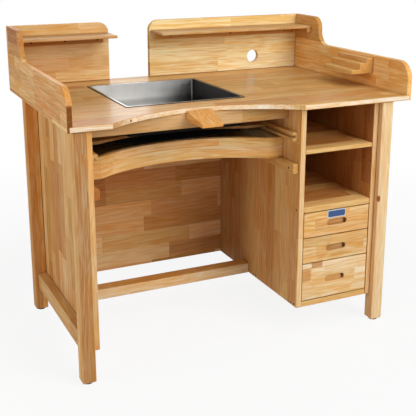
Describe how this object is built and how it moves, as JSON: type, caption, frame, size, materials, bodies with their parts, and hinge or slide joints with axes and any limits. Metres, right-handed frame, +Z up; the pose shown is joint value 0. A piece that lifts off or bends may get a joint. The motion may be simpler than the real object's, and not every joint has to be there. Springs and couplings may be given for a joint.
{
  "type": "jewelers bench",
  "caption": "Free-standing wooden jeweller's bench with a scalloped worktop, drop-in steel tray, bench pin, pull-out leather skin, catch drawer and a drawer cabinet under a low gallery.",
  "frame": {"origin": "on the floor under the middle of the bench's outline", "axes": "+X to the right of someone seated at it, +Y to the back, +Z up"},
  "size_m": [1.2, 0.76, 1.036],
  "materials": {
    "honey_wood": "satin lacquer",
    "pale_wood": "satin lacquer",
    "amber_wood": "satin lacquer",
    "shaded_wood": "satin lacquer",
    "tray_steel": "brushed",
    "black_leather": "smooth black",
    "glide_plastic": "moulded"
  },
  "bodies": {
    "bench": {"worktop": "honey_wood", "leg_front_left": "honey_wood", "leg_front_right": "honey_wood", "leg_rear_left": "honey_wood", "leg_rear_right": "honey_wood", "cabinet_bottom": "honey_wood", "cabinet_fixed_shelf": "honey_wood", "left_side_board": "honey_wood", "right_side_board": "honey_wood", "front_apron": "honey_wood", "foot_rail": "honey_wood", "left_shelf_cleat": "honey_wood", "right_shelf_cleat": "honey_wood", "right_end_cleat": "honey_wood", "left_back_board": "pale_wood", "right_back_board": "pale_wood", "left_tool_shelf": "pale_wood", "right_tool_shelf": "pale_wood", "left_side_panel": "amber_wood", "left_bottom_rail": "amber_wood", "right_bottom_rail": "amber_wood", "cabinet_left_panel": "amber_wood", "cabinet_right_panel": "amber_wood", "left_cheek": "amber_wood", "right_cheek": "amber_wood", "tool_rack": "amber_wood", "upper_runner_left": "amber_wood", "upper_runner_right": "amber_wood", "lower_runner_left": "amber_wood", "lower_runner_right": "amber_wood", "drawer_1_runner_left": "amber_wood", "drawer_1_runner_right": "amber_wood", "drawer_2_runner_left": "amber_wood", "drawer_2_runner_right": "amber_wood", "back_panel": "shaded_wood", "glide_front_left": "glide_plastic", "glide_front_right": "glide_plastic", "glide_rear_left": "glide_plastic", "glide_rear_right": "glide_plastic"},
    "catch_drawer": {"catch_front": "honey_wood", "catch_side_left": "amber_wood", "catch_side_right": "amber_wood", "catch_back": "amber_wood", "catch_base": "pale_wood"},
    "skin": {"skin_frame": "amber_wood", "leather_skin": "black_leather"},
    "drawer_1": {"drawer_1_front": "honey_wood", "drawer_1_carcass": "pale_wood", "drawer_1_base": "pale_wood"},
    "drawer_2": {"drawer_2_front": "honey_wood", "drawer_2_carcass": "pale_wood", "drawer_2_base": "pale_wood"},
    "drawer_3": {"drawer_3_front": "honey_wood", "drawer_3_carcass": "pale_wood", "drawer_3_base": "pale_wood"},
    "pin": {"bench_pin": "amber_wood"},
    "tray": {"steel_tray": "tray_steel"},
    "loose_shelf": {"adjustable_shelf": "honey_wood"}
  },
  "joints": [
    {"name": "catch_drawer_slide", "type": "slide", "parent": "bench", "child": "catch_drawer", "axis": [0, -1, 0], "range_m": [0, 0.3]},
    {"name": "skin_slide", "type": "slide", "parent": "bench", "child": "skin", "axis": [0, -1, 0], "range_m": [0, 0.22]},
    {"name": "drawer_1_slide", "type": "slide", "parent": "bench", "child": "drawer_1", "axis": [0, -1, 0], "range_m": [0, 0.4]},
    {"name": "drawer_2_slide", "type": "slide", "parent": "bench", "child": "drawer_2", "axis": [0, -1, 0], "range_m": [0, 0.4]},
    {"name": "drawer_3_slide", "type": "slide", "parent": "bench", "child": "drawer_3", "axis": [0, -1, 0], "range_m": [0, 0.4]},
    {"name": "pin_pull_out", "type": "slide", "parent": "bench", "child": "pin", "axis": [0, -1, 0], "range_m": [0, 0.05]},
    {"name": "tray_lift_out", "type": "slide", "parent": "bench", "child": "tray", "axis": [0, 0, 1], "range_m": [0, 0.13]},
    {"name": "loose_shelf_pull_out", "type": "slide", "parent": "bench", "child": "loose_shelf", "axis": [0, -1, 0], "range_m": [0, 0.35]}
  ]
}
